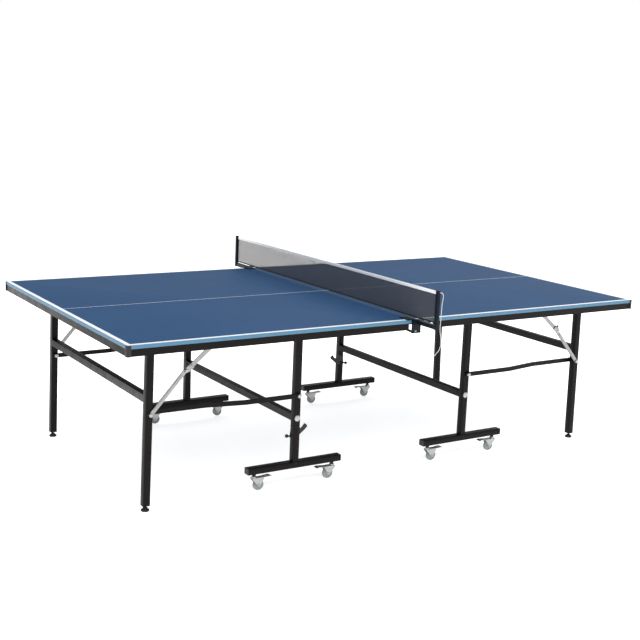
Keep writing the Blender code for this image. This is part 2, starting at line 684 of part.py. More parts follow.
for leftover in list(CUTTERS.objects):
    bpy.data.objects.remove(leftover, do_unlink=True)
bpy.data.collections.remove(CUTTERS)
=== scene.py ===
"""Looks of the folding table-tennis table: fine surfaces, net, cord and small hardware on the frame."""
import math

import bmesh
import bpy
from mathutils import Matrix, Vector


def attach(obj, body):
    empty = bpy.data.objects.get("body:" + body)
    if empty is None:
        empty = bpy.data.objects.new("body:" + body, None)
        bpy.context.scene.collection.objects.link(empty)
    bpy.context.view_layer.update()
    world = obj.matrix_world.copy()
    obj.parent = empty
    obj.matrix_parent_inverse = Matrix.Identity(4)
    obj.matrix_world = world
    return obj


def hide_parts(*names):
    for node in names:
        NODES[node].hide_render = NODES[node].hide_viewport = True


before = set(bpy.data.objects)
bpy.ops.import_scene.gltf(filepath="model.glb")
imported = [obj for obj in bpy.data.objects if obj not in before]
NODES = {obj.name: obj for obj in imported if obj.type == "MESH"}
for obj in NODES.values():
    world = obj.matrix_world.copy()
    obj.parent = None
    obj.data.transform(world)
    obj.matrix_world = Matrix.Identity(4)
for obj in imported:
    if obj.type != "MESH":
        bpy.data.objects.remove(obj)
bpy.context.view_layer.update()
HALVES = (("left", -1), ("right", 1))


# ---------------------------------------------------------------- camera
CAMERA_PLACE = (-3.024, -4.693, 1.748)
CAMERA_TURN = (32.651, 11.534, 2.343)  # degrees right of +Y, down, and tilted
CAMERA_LENS = 63.87


def place_camera():
    yaw, pitch, roll = (math.radians(angle) for angle in CAMERA_TURN)
    right = Vector((math.cos(yaw), -math.sin(yaw), 0))
    ahead = Vector((math.sin(yaw) * math.cos(pitch), math.cos(yaw) * math.cos(pitch), -math.sin(pitch)))
    up = right.cross(ahead)
    turned_right = right * math.cos(roll) + up * math.sin(roll)
    turned_up = up * math.cos(roll) - right * math.sin(roll)
    data = bpy.data.cameras.new("camera")
    data.lens = CAMERA_LENS
    data.sensor_width = 36
    cam = bpy.data.objects.new("camera", data)
    bpy.context.scene.collection.objects.link(cam)
    rot = Matrix((turned_right, turned_up, -ahead)).transposed().to_4x4()
    cam.matrix_world = Matrix.Translation(CAMERA_PLACE) @ rot
    bpy.context.scene.camera = cam


# ---------------------------------------------------------------- node helpers
class Mat:
    """A Principled material and its node tree, with short ways to add nodes."""

    def __init__(self, name, colour, rough, metal=0.0, spec=0.5, **more):
        self.material = bpy.data.materials.new(name)
        self.material.use_nodes = True
        self.tree = self.material.node_tree
        self.shader = self.tree.nodes["Principled BSDF"]
        self.shader.inputs["Base Color"].default_value = (*colour, 1)
        self.shader.inputs["Roughness"].default_value = rough
        self.shader.inputs["Metallic"].default_value = metal
        self.shader.inputs["Specular IOR Level"].default_value = spec
        for key, value in more.items():
            self.shader.inputs[key.replace("_", " ")].default_value = value
        self.coords = self.tree.nodes.new("ShaderNodeTexCoord").outputs["Object"]
        self.material.diffuse_color = (*colour, 1)

    def feed(self, socket, value):
        """Links a socket, or sets its plain value."""
        if isinstance(value, bpy.types.NodeSocket):
            self.tree.links.new(value, socket)
        else:
            socket.default_value = value

    def node(self, kind, **inputs):
        n = self.tree.nodes.new("ShaderNode" + kind)
        for name, value in inputs.items():
            self.feed(n.inputs[name], value)
        return n

    def noise(self, scale, detail=4.0, rough=0.55, stretch=None):
        coords = self.coords
        if stretch:
            coords = self.node("Mapping", Vector=coords, Scale=stretch).outputs[0]
        n = self.node("TexNoise", Vector=coords, Scale=scale, Detail=detail, Roughness=rough)
        return n.outputs["Fac"]

    def ramp(self, fac, stops):
        n = self.tree.nodes.new("ShaderNodeValToRGB")
        self.tree.links.new(fac, n.inputs[0])
        while len(n.color_ramp.elements) < len(stops):
            n.color_ramp.elements.new(0.5)
        for element, (position, grey) in zip(n.color_ramp.elements, stops):
            element.position = position
            element.color = (grey, grey, grey, 1)
        return n.outputs["Color"]

    def multiply(self, a, b):
        n = self.node("Math")
        n.operation = "MULTIPLY"
        self.feed(n.inputs[0], a)
        self.feed(n.inputs[1], b)
        return n.outputs[0]

    def mix(self, fac, a, b):
        n = self.tree.nodes.new("ShaderNodeMix")
        n.data_type = "RGBA"
        self.feed(n.inputs[0], fac)
        for socket, colour in ((n.inputs[6], a), (n.inputs[7], b)):
            self.feed(socket, (*colour, 1) if isinstance(colour, tuple) else colour)
        return n.outputs[2]

    def set(self, name, socket):
        self.tree.links.new(socket, self.shader.inputs[name])

    def bump(self, height, strength, distance):
        old = self.shader.inputs["Normal"]
        n = self.node("Bump", Strength=strength, Distance=distance, Height=height)
        if old.links:
            self.tree.links.new(old.links[0].from_socket, n.inputs["Normal"])
        self.tree.links.new(n.outputs[0], old)


def shade(colour, factor):
    return tuple(min(1.0, channel * factor) for channel in colour)


def table_paint():
    blue = (0.018, 0.064, 0.155)
    m = Mat("table_paint", blue, 0.46, spec=0.06)
    cloud = m.noise(2.3, 3)
    fine = m.noise(420, 2, 0.7)
    speck = m.noise(1900, 1, 0.6)
    base = m.mix(m.ramp(cloud, [(0.3, 0.0), (0.7, 1.0)]), shade(blue, 0.94), shade(blue, 1.07))
    base = m.mix(m.ramp(speck, [(0.35, 0.0), (0.75, 0.35)]), base, shade(blue, 1.25))
    scuff = m.noise(9, 6, 0.7, (1, 6, 1))
    marks = m.ramp(scuff, [(0.62, 0.0), (0.72, 1.0)])
    base = m.mix(m.multiply(marks, 0.10), base, (0.10, 0.16, 0.25))
    m.set("Base Color", base)
    m.set("Roughness", m.ramp(fine, [(0.3, 0.44), (0.7, 0.54)]))
    m.bump(fine, 0.10, 0.0004)
    m.bump(speck, 0.06, 0.0002)
    return m.material


def line_paint():
    m = Mat("line_paint", (0.80, 0.83, 0.86), 0.5, spec=0.35)
    fine = m.noise(420, 2, 0.7)
    m.set("Base Color", m.mix(m.noise(60, 5), (0.74, 0.78, 0.83), (0.86, 0.88, 0.90)))
    m.set("Roughness", m.ramp(fine, [(0.3, 0.45), (0.7, 0.58)]))
    m.bump(fine, 0.10, 0.0004)
    return m.material


def edge_band():
    m = Mat("edge_band", (0.085, 0.20, 0.31), 0.42, spec=0.25)
    m.set("Base Color", m.mix(m.noise(35, 4, 0.6, (1, 1, 8)), (0.072, 0.175, 0.28), (0.098, 0.225, 0.34)))
    m.set("Roughness", m.ramp(m.noise(200, 3), [(0.3, 0.38), (0.7, 0.5)]))
    m.bump(m.noise(600, 2), 0.08, 0.0003)
    return m.material


def frame_paint():
    dark = (0.0052, 0.0040, 0.0036)
    m = Mat("frame_paint", dark, 0.42, spec=0.12)
    peel = m.noise(900, 2, 0.5)
    cloud = m.noise(14, 5)
    m.set("Base Color", m.mix(m.ramp(cloud, [(0.3, 0.0), (0.7, 1.0)]), shade(dark, 0.8), shade(dark, 1.35)))
    m.set("Roughness", m.ramp(cloud, [(0.3, 0.32), (0.7, 0.46)]))
    m.bump(peel, 0.12, 0.0004)
    return m.material


def bracket_paint():
    dark = (0.0035, 0.0060, 0.0115)
    m = Mat("bracket_paint", dark, 0.42, spec=0.16)
    m.set("Base Color", m.mix(m.noise(40, 5), shade(dark, 0.8), shade(dark, 1.5)))
    m.set("Roughness", m.ramp(m.noise(25, 5), [(0.3, 0.30), (0.7, 0.45)]))
    m.bump(m.noise(900, 2), 0.12, 0.0004)
    return m.material


def plastic(name, colour, rough, grain=1400):
    m = Mat(name, colour, rough, spec=0.4)
    m.set("Base Color", m.mix(m.noise(50, 4), shade(colour, 0.85), shade(colour, 1.25)))
    m.set("Roughness", m.ramp(m.noise(120, 4), [(0.3, rough - 0.06), (0.7, rough + 0.08)]))
    m.bump(m.noise(grain, 2, 0.6), 0.18, 0.0004)
    return m.material


def zinc(name, colour):
    rough = 0.38
    m = Mat(name, colour, rough, metal=1.0)
    streak = m.noise(240, 4, 0.6, (1, 1, 0.12))
    cloud = m.noise(30, 5)
    m.set("Base Color", m.mix(cloud, shade(colour, 0.82), shade(colour, 1.15)))
    m.set("Roughness", m.ramp(m.noise(60, 5), [(0.3, rough - 0.06), (0.7, rough + 0.14)]))
    m.bump(streak, 0.10, 0.0003)
    return m.material


def rubber(name, colour, rough=0.7):
    m = Mat(name, colour, rough, spec=0.3)
    m.set("Base Color", m.mix(m.noise(90, 5), shade(colour, 0.78), shade(colour, 1.18)))
    m.set("Roughness", m.ramp(m.noise(150, 4), [(0.3, rough - 0.1), (0.7, rough + 0.1)]))
    m.bump(m.noise(1200, 3), 0.25, 0.0005)
    return m.material


def net_thread():
    dark = (0.028, 0.026, 0.026)
    m = Mat("net_thread", dark, 0.8, spec=0.2, Sheen_Weight=0.2)
    m.set("Base Color", m.mix(m.noise(150, 4), shade(dark, 0.7), shade(dark, 1.8)))
    twist = m.node("TexWave", Vector=m.coords, Scale=700.0, Distortion=1.0)
    m.bump(twist.outputs["Fac"], 0.4, 0.0003)
    return m.material


def woven(name, colour, fineness=250.0):
    m = Mat(name, colour, 0.8, spec=0.2, Sheen_Weight=0.15)
    waves = []
    for direction in ("Y", "Z"):
        wave = m.node("TexWave", Vector=m.coords, Scale=fineness, Distortion=0.2)
        wave.bands_direction = direction
        waves.append(wave.outputs["Fac"])
    weave = m.multiply(*waves)
    m.set("Base Color", m.mix(m.noise(70, 5), shade(colour, 0.86), shade(colour, 1.05)))
    m.bump(weave, 0.35, 0.0004)
    m.bump(m.noise(25, 3), 0.15, 0.002)
    return m.material


def underside_board():
    m = Mat("underside_board", (0.030, 0.045, 0.075), 0.6, spec=0.3)
    m.set("Base Color", m.mix(m.noise(180, 6, 0.7), (0.022, 0.034, 0.060), (0.040, 0.058, 0.090)))
    m.set("Roughness", m.ramp(m.noise(40, 4), [(0.3, 0.5), (0.7, 0.7)]))
    m.bump(m.noise(500, 4, 0.7), 0.25, 0.0006)
    return m.material


# ---------------------------------------------------------------- mesh helpers
SHARP = math.radians(38)


def new_object(name, bm, mats, body, smooth=True):
    bmesh.ops.recalc_face_normals(bm, faces=bm.faces)
    mesh = bpy.data.meshes.new(name)
    bm.to_mesh(mesh)
    bm.free()
    for m in mats:
        mesh.materials.append(m)
    obj = bpy.data.objects.new(name, mesh)
    bpy.context.scene.collection.objects.link(obj)
    if smooth:
        mesh.shade_smooth()
        mesh.set_sharp_from_angle(angle=SHARP)
    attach(obj, body)
    return obj


def outline_mesh(points, low, high):
    """Prism of a 2D outline between two heights."""
    bm = bmesh.new()
    face = bm.faces.new([bm.verts.new((x, y, low)) for x, y in points])
    bmesh.ops.recalc_face_normals(bm, faces=[face])
    raised = bmesh.ops.extrude_face_region(bm, geom=[face])["geom"]
    corners = [item for item in raised if isinstance(item, bmesh.types.BMVert)]
    bmesh.ops.translate(bm, vec=(0, 0, high - low), verts=corners)
    return bm


def skin(bm, rings):
    """Closes a row of equal rings into one solid."""
    for a, b in zip(rings, rings[1:]):
        for i in range(len(a)):
            j = (i + 1) % len(a)
            bm.faces.new((a[i], a[j], b[j], b[i]))
    bm.faces.new(rings[0])
    bm.faces.new(rings[-1])


def lathe(bm, profile, place, steps=24, material=0):
    """Adds a turned solid; profile is (radius, height), place maps its axis from +Z."""
    rings = []
    for radius, height in profile:
        if radius < 1e-7:
            rings.append([bm.verts.new(place @ Vector((0, 0, height)))])
            continue
        ring = []
        for i in range(steps):
            a = 2 * math.pi * i / steps
            ring.append(bm.verts.new(place @ Vector((radius * math.cos(a), radius * math.sin(a), height))))
        rings.append(ring)
    for low, high in zip(rings, rings[1:]):
        for i in range(steps):
            j = (i + 1) % steps
            if len(low) == 1:
                f = bm.faces.new((low[0], high[j], high[i]))
            elif len(high) == 1:
                f = bm.faces.new((low[i], low[j], high[0]))
            else:
                f = bm.faces.new((low[i], low[j], high[j], high[i]))
            f.material_index = material
    for ring in (rings[0], rings[-1]):
        if len(ring) > 1:
            bm.faces.new(ring).material_index = material


def aim(point, direction):
    """Matrix that takes +Z to direction at a point."""
    return Matrix.Translation(point) @ Vector(direction).to_track_quat("Z", "Y").to_matrix().to_4x4()


def dome_head(bm, point, direction, radius, height):
    """Pan head with a rounded rim, standing on point."""
    profile = [(radius, 0), (radius, height * 0.45), (radius * 0.93, height * 0.72)]
    profile += [(radius * 0.75, height * 0.92), (radius * 0.35, height), (0, height)]
    lathe(bm, profile, aim(point, direction), 20)


def hex_nut(bm, point, direction, radius, height):
    profile = [(radius * 0.86, 0), (radius, height * 0.12), (radius, height * 0.86)]
    profile += [(radius * 0.84, height), (0, height)]
    lathe(bm, profile, aim(point, direction), 6)


def at(sign, u, v, z):
    """Point of one half: u runs from the net outwards and v across; the left half is the right one turned."""
    return Vector((sign * u, sign * v, z))


def near_far(sign, v):
    return "near" if v * sign < 0 else "far"


def dressed(name, bm, look, body):
    """A small piece of one look that rides a body."""
    new_object(name, bm, [LOOKS[look]], body)


# ---------------------------------------------------------------- sizes shared with the frame
# metres; pivots are (u, z) pairs, and v is the distance from the middle of the table
TUBE = 0.032
INNER_V = 0.552  # trolley posts
OUTER_V = 0.566  # outer legs
POST_PIVOT, LEG_PIVOT = (0.478, 0.714), (1.190, 0.714)
LINK_INNER, LINK_OUTER = (0.480, 0.416), (1.192, 0.416)
KNEE, STAY_TOP = (1.037, 0.590), (0.872, 0.726)
TROLLEY_U, BEAM_HALF, STEM_DU, TRAIL = 0.479, 0.239, 0.203, 0.022
WHEEL_R = 0.025
LINK_BAR_T = 0.0128  # a link bar and the gap behind it
LINK_OUT = INNER_V + TUBE / 2 + LINK_BAR_T
LINK_IN = OUTER_V - TUBE / 2 - LINK_BAR_T
STAY_V = OUTER_V + TUBE / 2 + 0.0008
TOP_Z, PANEL, HALF_L, HALF_W, CORNER = 0.760, 0.016, 1.370, 0.7625, 0.008
HALF_GAP = 0.003  # from the middle of the table to each half
PANEL_EDGE_R = 0.0009
LINE_W, CENTRE_LINE_W, LINE_SKIN = 0.020, 0.003, 0.00012
RAIL_SCREW_Z, CROSS_RAIL_SCREW_Z = 0.7141, 0.7338
NET_X = -0.0025
NET_LOW, NET_HIGH, NET_REACH = 0.7710, 0.8985, 0.9040
NET_PITCH = 0.0050
STRAND_HALF_W, STRAND_HALF_T = 0.00143, 0.00045
PIN_HEAD = [(0.0095, 0.0003), (0.0095, 0.0044), (0.0086, 0.0058), (0.0055, 0.0066), (0, 0.0068)]


# ---------------------------------------------------------------- looks by short name
LOOKS = {
    "table": table_paint(),
    "line": line_paint(),
    "edge": edge_band(),
    "under": underside_board(),
    "frame": frame_paint(),
    "bracket": bracket_paint(),
    "zinc": zinc("zinc", (0.345, 0.345, 0.335)),
    "bright": zinc("bright_zinc", (0.44, 0.45, 0.44)),
    "plastic": plastic("black_plastic", (0.013, 0.013, 0.014), 0.48),
    "latch": plastic("latch_plastic", (0.010, 0.010, 0.011), 0.42, 900),
    "foot": rubber("foot_rubber", (0.014, 0.014, 0.014)),
    "tread": rubber("grey_tread", (0.24, 0.265, 0.26), 0.6),
    "hub": plastic("grey_hub", (0.50, 0.53, 0.52), 0.42),
    "thread": net_thread(),
    "tape": woven("net_tape", (0.95, 0.95, 0.95)),
    "hem": woven("net_hem", (0.003, 0.004, 0.007)),
    "cord": woven("cord_fibre", (0.74, 0.74, 0.70), 500.0),
}


# ---------------------------------------------------------------- cord
def smooth_route(points, per):
    """Catmull-Rom curve through a route, with per points on each stretch."""
    pts = [Vector(p) for p in points]
    pts = [pts[0] * 2 - pts[1]] + pts + [pts[-1] * 2 - pts[-2]]
    out = []
    for a, b, c, d in zip(pts, pts[1:], pts[2:], pts[3:]):
        for i in range(per):
            t = i / per
            out.append(0.5 * (2 * b + (c - a) * t + (2 * a - 5 * b + 4 * c - d) * t * t
                              + (3 * b - a - 3 * c + d) * t ** 3))
    return out + [pts[-2]]


def hanging_cord():
    """Tension cord that hangs from the near net bracket and ends in a knot."""
    route = [(-0.0040, -0.9268, 0.9090), (0.0020, -0.9300, 0.9085), (0.0072, -0.9325, 0.9030)]
    route += [(0.0092, -0.9338, 0.8920), (0.0070, -0.9342, 0.8790), (0.0042, -0.9342, 0.8600)]
    route += [(0.0028, -0.9342, 0.8250), (0.0022, -0.9342, 0.7900), (0.0012, -0.9342, 0.7630)]
    route += [(0.0020, -0.9343, 0.7400), (0.0070, -0.9344, 0.7180), (0.0098, -0.9345, 0.6950)]
    route += [(0.0088, -0.9345, 0.6740), (0.0020, -0.9345, 0.6560), (-0.0105, -0.9345, 0.6440)]
    route += [(-0.0210, -0.9345, 0.6340)]
    line = smooth_route(route, 3)
    curve = bpy.data.curves.new("tension_cord_fibre", "CURVE")
    curve.dimensions = "3D"
    curve.bevel_depth = 0.0013
    curve.bevel_resolution = 3
    curve.use_fill_caps = True
    spline = curve.splines.new("POLY")
    spline.points.add(len(line) - 1)
    for point, place in zip(spline.points, line):
        point.co = (*place, 1)
    spline.use_smooth = True
    obj = bpy.data.objects.new("tension_cord_fibre", curve)
    bpy.context.scene.collection.objects.link(obj)
    curve.materials.append(LOOKS["cord"])
    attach(obj, "left_top")
    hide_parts("tension_cord")
    along = (line[-1] - line[-3]).normalized()
    bm = bmesh.new()
    profile = [(0, -0.0026), (0.0012, -0.0023), (0.0019, -0.0012), (0.0021, 0)]
    profile += [(0.0018, 0.0013), (0.0011, 0.0023), (0, 0.0026)]
    lathe(bm, profile, aim(line[-1] - along * 0.0020, along), 14)
    knot = new_object("tension_cord_knot", bm, [LOOKS["cord"]], "left_top")


# ---------------------------------------------------------------- tops
def panel_outline(sign, inset=0.0):
    """Half top seen from above, with rounded outer corners."""
    points = [(HALF_GAP + inset, -HALF_W + inset)]
    for centre_v, start in ((-HALF_W + CORNER, 270), (HALF_W - CORNER, 0)):
        for i in range(9):
            a = math.radians(start + 90 * i / 8)
            r = CORNER - inset
            points.append((HALF_L - CORNER + r * math.cos(a), centre_v + r * math.sin(a)))
    points.append((HALF_GAP + inset, HALF_W - inset))
    return [(sign * u, sign * v) for u, v in points]


def table_top(half, sign):
    """Painted panel with a rounded edge band and a bare board underneath."""
    body = half + "_top"
    bm = outline_mesh(panel_outline(sign), TOP_Z - PANEL, TOP_Z)
    rim = [e for e in bm.edges if abs(e.verts[0].co.z - e.verts[1].co.z) < 1e-6]
    bmesh.ops.bevel(bm, geom=rim, offset=PANEL_EDGE_R, segments=3, affect="EDGES", profile=0.5)
    bm.normal_update()
    for f in bm.faces:
        if abs(f.normal.z) < 0.9:
            f.material_index = 1
        elif f.calc_center_median().z < TOP_Z - PANEL / 2:
            f.material_index = 2
    top = new_object(half + "_painted_top", bm, [LOOKS[key] for key in ("table", "edge", "under")], body)
    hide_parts(half + "_tabletop")


def border_line(half, sign):
    """White line along three sides, as a thin skin on the panel."""
    bm = bmesh.new()
    outer = [Vector((x, y)) for x, y in panel_outline(sign, PANEL_EDGE_R)]
    inner = []
    for x, y in panel_outline(1, PANEL_EDGE_R):
        u = min(x, HALF_L - LINE_W)
        v = max(-HALF_W + LINE_W, min(HALF_W - LINE_W, y))
        inner.append(Vector((sign * u, sign * v)))
    low, high = [[[bm.verts.new((p.x, p.y, z)) for p in ring] for ring in (outer, inner)]
                 for z in (TOP_Z, TOP_Z + LINE_SKIN)]
    count = len(outer)
    for i in range(count - 1):
        j = i + 1
        same = (inner[i] - inner[j]).length < 1e-9
        for ring_o, ring_i in (high, low):
            corners = [ring_o[i], ring_o[j], ring_i[j]]
            if not same:
                corners.append(ring_i[i])
            bm.faces.new(corners)
        bm.faces.new((low[0][i], low[0][j], high[0][j], high[0][i]))
        if not same:
            bm.faces.new((low[1][i], low[1][j], high[1][j], high[1][i]))
    for k in (0, count - 1):
        bm.faces.new((low[0][k], low[1][k], high[1][k], high[0][k]))
    bmesh.ops.remove_doubles(bm, verts=bm.verts, dist=1e-7)
    line = new_object(half + "_border_line", bm, [LOOKS["line"]], half + "_top", smooth=False)


def centre_line(half, sign):
    start, end, side = HALF_GAP, HALF_L - LINE_W, CENTRE_LINE_W / 2
    corners = ((start, -side), (end, -side), (end, side), (start, side))
    bm = outline_mesh([(sign * u, sign * v) for u, v in corners], TOP_Z, TOP_Z + LINE_SKIN)
    line = new_object(half + "_centre_line", bm, [LOOKS["line"]], half + "_top", smooth=False)


# ---------------------------------------------------------------- net
def ribbon(bm, points, half_w, half_t):
    """Thin four-sided strand along points; half_w across, half_t along X."""
    rings = []
    for k, p in enumerate(points):
        a, b = points[max(k - 1, 0)], points[min(k + 1, len(points) - 1)]
        along = (b - a).normalized()
        side = along.cross(Vector((1, 0, 0))).normalized() * half_w
        out = Vector((half_t, 0, 0))
        rings.append([bm.verts.new(p + d) for d in (side, out, -side, -out)])
    skin(bm, rings)


def net_band(name, low, high, reach, half_t, look):
    """Folded tape along the net: a flattened loop with a rounded top, slightly rippled."""
    section = []
    for i in range(7):
        a = math.pi * i / 6
        section.append((half_t * math.cos(a), high - half_t + half_t * math.sin(a)))
    section += [(-half_t * 0.85, low + 0.0005), (-half_t * 0.55, low)]
    section += [(half_t * 0.55, low), (half_t * 0.85, low + 0.0005)]
    bm = bmesh.new()
    rings = []
    steps = 180
    for k in range(steps + 1):
        y = -reach + 2 * reach * k / steps
        wave = 0.00012 * math.sin(k * 0.9) + 0.00010 * math.sin(k * 0.23)
        rings.append([bm.verts.new((NET_X + dx + wave, y, z)) for dx, z in section])
    skin(bm, rings)
    return new_object(name, bm, [LOOKS[look]], "left_top")


def net_sheet():
    """Strands that pass over and under each other, with a tape above, a hem below and bound ends."""
    height = NET_HIGH - NET_LOW
    columns = round(2 * NET_REACH / NET_PITCH)
    rows = round(height / NET_PITCH)
    bm = bmesh.new()
    for i in range(columns + 1):
        y = -NET_REACH + 2 * NET_REACH * i / columns
        points = []
        for k in range(rows + 1):
            sway = 0.00035 * math.sin(i * 1.7 + k * 2.1) + 0.0002 * math.sin(i * 0.31 + k * 0.9)
            over = 0.00025 * (-1) ** (i + k)
            points.append(Vector((NET_X + over, y + sway, NET_LOW + height * k / rows)))
        ribbon(bm, points, STRAND_HALF_W, STRAND_HALF_T)
    for k in range(rows + 1):
        points = []
        for i in range(columns + 1):
            z = NET_LOW + height * k / rows + 0.0003 * math.sin(i * 1.1 + k * 1.9)
            over = 0.00025 * (-1) ** (i + k)
            points.append(Vector((NET_X - over, -NET_REACH + 2 * NET_REACH * i / columns, z)))
        ribbon(bm, points, STRAND_HALF_W, STRAND_HALF_T)
    net = new_object("net_mesh_cloth", bm, [LOOKS["thread"]], "left_top", smooth=False)
    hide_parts("net")
    bound = [net_band("net_top_tape", 0.8975, 0.9125, 0.9058, 0.00125, "tape")]
    bound.append(net_band("net_bottom_hem", 0.7690, 0.7745, 0.9050, 0.0010, "hem"))
    for name, s in (("near", -1), ("far", 1)):
        points = [Vector((NET_X, s * 0.9035, NET_LOW + height * k / 12)) for k in range(13)]
        bm = bmesh.new()
        ribbon(bm, points, 0.0026, 0.0009)
        bound.append(new_object("net_end_tape_" + name, bm, [LOOKS["hem"]], "left_top", smooth=False))


# ---------------------------------------------------------------- hardware
def plug(bm, spot, way):
    """Moulded end plug of a foot beam, with a raised cushion."""
    half_y, half_z, corner = 0.0188, 0.0148, 0.0030
    steps = ((0.0, -0.0006), (0.0, 0.0016), (0.0010, 0.0026), (0.0032, 0.0030), (0.0060, 0.0030))
    rings = []
    for inset, reach in steps:
        ring = []
        for cy, cz, start in ((1, 1, 0), (-1, 1, 90), (-1, -1, 180), (1, -1, 270)):
            for i in range(4):
                a = math.radians(start + 30 * i)
                y = cy * (half_y - inset - corner) + corner * math.cos(a)
                z = cz * (half_z - inset - corner) + corner * math.sin(a)
                ring.append(bm.verts.new(spot + Vector((way * reach, y, z))))
        rings.append(ring)
    skin(bm, rings)


def screw(bm, spot, radius):
    """Pan head pointing down, with a round recess."""
    profile = [(radius, -0.0002), (radius, 0.0008), (radius * 0.86, 0.0016), (radius * 0.5, 0.0020)]
    profile += [(radius * 0.42, 0.0019), (radius * 0.38, 0.0010), (0, 0.0010)]
    lathe(bm, profile, aim(spot, (0, 0, -1)), 12)


def trolley_hardware(half, sign):
    """Caps of the cross bar, link pin heads, and the plugs and rivets of the foot beams."""
    body = half + "_trolley"
    cap = [(0.0139, 0), (0.0139, 0.0018), (0.0130, 0.0027), (0.0095, 0.0033), (0.0045, 0.0035), (0, 0.0035)]
    bm = bmesh.new()
    for s in (-1, 1):
        out = Vector((0, sign * s, 0))
        lathe(bm, cap, aim(at(sign, TROLLEY_U, s * (INNER_V + TUBE / 2), 0.310), out), 28)
        lathe(bm, PIN_HEAD, aim(at(sign, LINK_INNER[0], s * LINK_OUT, LINK_INNER[1]), out), 24)
    dressed(half + "_trolley_caps", bm, "bright", body)
    bm = bmesh.new()
    for s in (-1, 1):
        for way in (-1, 1):
            plug(bm, at(sign, TROLLEY_U + way * BEAM_HALF, s * INNER_V, 0.094), sign * way)
        rivet = at(sign, TROLLEY_U, s * (INNER_V + 0.019), 0.1015)
        dome_head(bm, rivet, (0, sign * s, 0), 0.0030, 0.0012)
    dressed(half + "_beam_plugs", bm, "plastic", body)


def leg_hardware(half, sign):
    """Link pin heads on the inner side of the outer legs, lower stay bolts on the outer side."""
    bolt = [(0.0084, 0), (0.0085, 0.0032), (0.0076, 0.0046), (0.0045, 0.0052), (0.0040, 0.0044), (0, 0.0043)]
    u, z = LINK_OUTER
    bm = bmesh.new()
    for s in (-1, 1):
        out = Vector((0, sign * s, 0))
        lathe(bm, PIN_HEAD, aim(at(sign, u, s * LINK_IN, z), -out), 24)
        lathe(bm, bolt, aim(at(sign, u, s * (STAY_V + 0.0055), z), out), 24)
    dressed(half + "_outer_leg_bolts", bm, "bright", half + "_outer_legs")


def top_hardware(half, sign):
    """Rivets of the leg hinges and stay ears, and the screws under the rails."""
    body = half + "_top"
    rivet_seat = TUBE / 2 + 0.0006 + 0.0070  # half a tube, a gap, then the hinge ear with its pin head
    bm = bmesh.new()
    for s in (-1, 1):
        for (u, z), v in ((POST_PIVOT, INNER_V), (LEG_PIVOT, OUTER_V)):
            for way in (1, -1):
                seat = at(sign, u, s * (v + way * rivet_seat), z)
                dome_head(bm, seat, (0, sign * s * way, 0), 0.0072, 0.0014)
        stay_rivet = at(sign, STAY_TOP[0], s * (STAY_V + 0.0166), STAY_TOP[1])
        dome_head(bm, stay_rivet, (0, sign * s, 0), 0.0060, 0.0018)
    dressed(half + "_hinge_rivets", bm, "zinc", body)
    bm = bmesh.new()
    inset = 0.011
    spots = []
    for k in range(7):
        spots += [(0.19 + k * 0.185, s * (HALF_W - inset)) for s in (-1, 1)]
    spots += [(HALF_L - inset, -0.6 + 0.2 * k) for k in range(7)]
    for u, v in spots:
        screw(bm, at(sign, u, v, RAIL_SCREW_Z), 0.0048)
    for u in (POST_PIVOT[0], LEG_PIVOT[0]):
        for v in (-0.42, -0.21, 0.0, 0.21, 0.42):
            screw(bm, at(sign, u, v, CROSS_RAIL_SCREW_Z), 0.0044)
    dressed(half + "_apron_screws", bm, "zinc", body)


def stay_hardware(half, sign):
    """Locking sleeve and its knob on each upper stay bar, and the knee rivet."""
    ku, kz = KNEE
    du, dz = STAY_TOP[0] - ku, STAY_TOP[1] - kz
    length = math.hypot(du, dz)
    du, dz = du / length, dz / length

    def on_bar(along, across, v):
        return at(sign, ku + du * along + dz * across, v, kz + dz * along - du * across)

    sleeve = [(0.004, -0.0112), (0.034, -0.0112), (0.034, 0.0112)]
    sleeve += [(0.026, 0.0130), (0.010, 0.0130), (0.004, 0.0112)]
    sleeve_depth = (STAY_V + 0.0067, STAY_V + 0.0152)  # clears the ribs of the lower bar
    knob = [(0.0026, 0), (0.0026, 0.0022), (0.0048, 0.0030), (0.0054, 0.0052)]
    knob += [(0.0048, 0.0078), (0.0028, 0.0090), (0, 0.0093)]
    for s in (-1, 1):
        where = near_far(sign, s)
        body = "%s_stay_upper_%s" % (half, where)
        bm = bmesh.new()
        skin(bm, [[bm.verts.new(on_bar(a, b, s * v)) for a, b in sleeve] for v in sleeve_depth])
        bmesh.ops.recalc_face_normals(bm, faces=bm.faces)
        bmesh.ops.bevel(bm, geom=list(bm.edges), offset=0.0006, segments=2, affect="EDGES", profile=0.5)
        dressed("%s_stay_sleeve_%s" % (half, where), bm, "zinc", body)
        bm = bmesh.new()
        spot = on_bar(0.019, 0.0124, s * (STAY_V + 0.0108))
        lathe(bm, knob, aim(spot, (sign * dz, 0, -du)), 20)
        dressed("%s_stay_knob_%s" % (half, where), bm, "plastic", body)
        bm = bmesh.new()
        dome_head(bm, at(sign, ku, s * (STAY_V + 0.0146), kz), (0, sign * s, 0), 0.0074, 0.0018)
        dressed("%s_knee_rivet_%s" % (half, where), bm, "bright", body)


